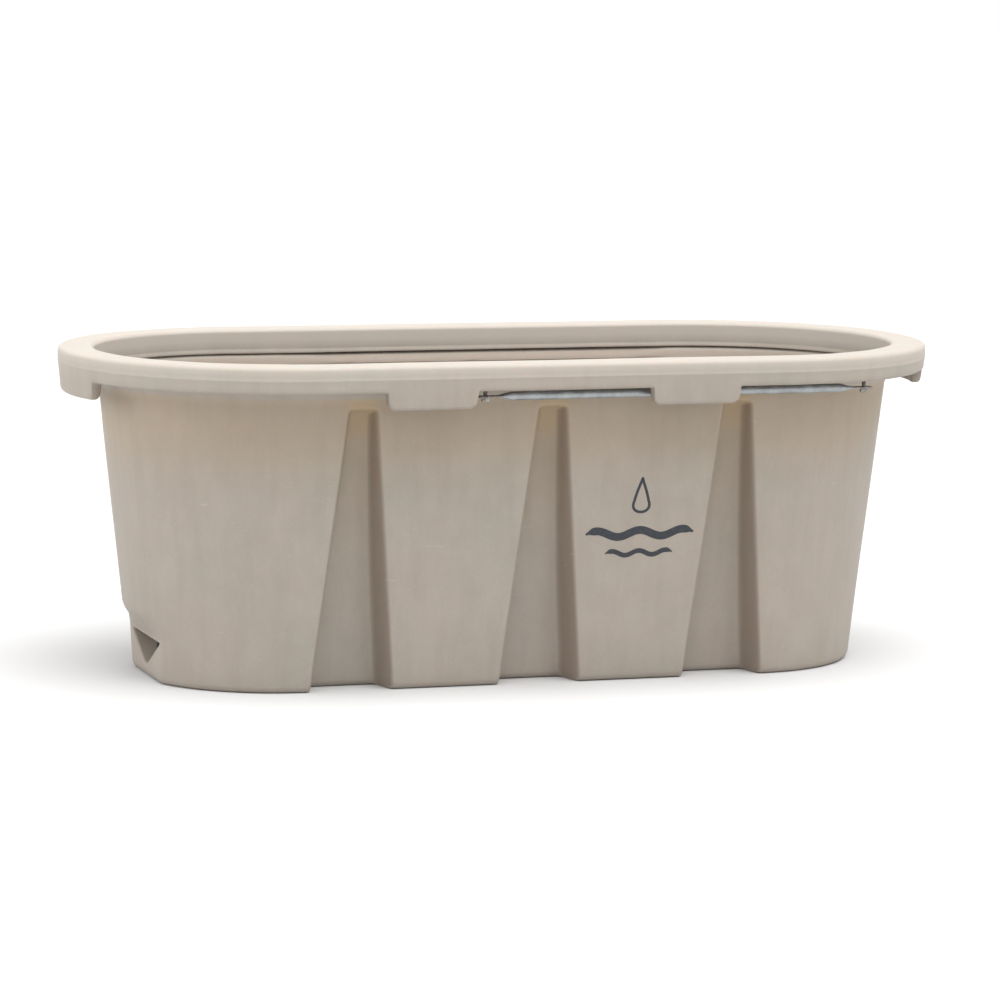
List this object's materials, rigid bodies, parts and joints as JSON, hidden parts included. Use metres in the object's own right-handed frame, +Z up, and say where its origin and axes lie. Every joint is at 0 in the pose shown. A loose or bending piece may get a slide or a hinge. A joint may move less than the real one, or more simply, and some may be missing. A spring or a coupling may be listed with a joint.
{
  "type": "livestock water trough",
  "caption": "Round-ended moulded stock tank with an overhanging rim, stacking lugs, side channels, brace tubes under the rim and a screw-in drain plug.",
  "frame": {"origin": "on the floor under the middle of the tank", "axes": "+X along the tank away from the drain end, +Y across it, +Z up"},
  "size_m": [1.682, 0.795, 0.61],
  "materials": {
    "polyethylene": "rotationally moulded polyethylene, matt, fine speckle",
    "galvanised_steel": "galvanised, dull spangle",
    "zinc_steel": "bright zinc plate",
    "brass": "turned, slightly dulled",
    "rubber": "matt",
    "plug_plastic": "moulded, satin"
  },
  "bodies": {
    "tank": {"tank_shell": "polyethylene", "front_brace_tube": "galvanised_steel", "rear_brace_tube": "galvanised_steel", "front_near_brace_bolt": "zinc_steel", "front_far_brace_bolt": "zinc_steel", "rear_near_brace_bolt": "zinc_steel", "rear_far_brace_bolt": "zinc_steel", "front_near_washer": "zinc_steel", "front_far_washer": "zinc_steel", "rear_near_washer": "zinc_steel", "rear_far_washer": "zinc_steel", "front_near_rim_insert": "brass", "front_far_rim_insert": "brass", "rear_near_rim_insert": "brass", "rear_far_rim_insert": "brass", "drain_fitting": "brass"},
    "seal": {"drain_seal": "rubber"},
    "plug": {"drain_plug": "plug_plastic"}
  },
  "joints": [
    {"name": "drain_seal_travel", "type": "slide", "parent": "tank", "child": "seal", "axis": [-1, 0, 0], "range_m": [0, 0.0146]},
    {"name": "drain_plug_turn", "type": "hinge", "parent": "seal", "child": "plug", "pos_m": [-0.65, 0, 0.052], "axis": [-1, 0, 0], "range_deg": [0, 2880]}
  ],
  "couplings": [
    {"joint": "drain_seal_travel", "follows": "drain_plug_turn", "m_per_rad": 0.00028875}
  ]
}
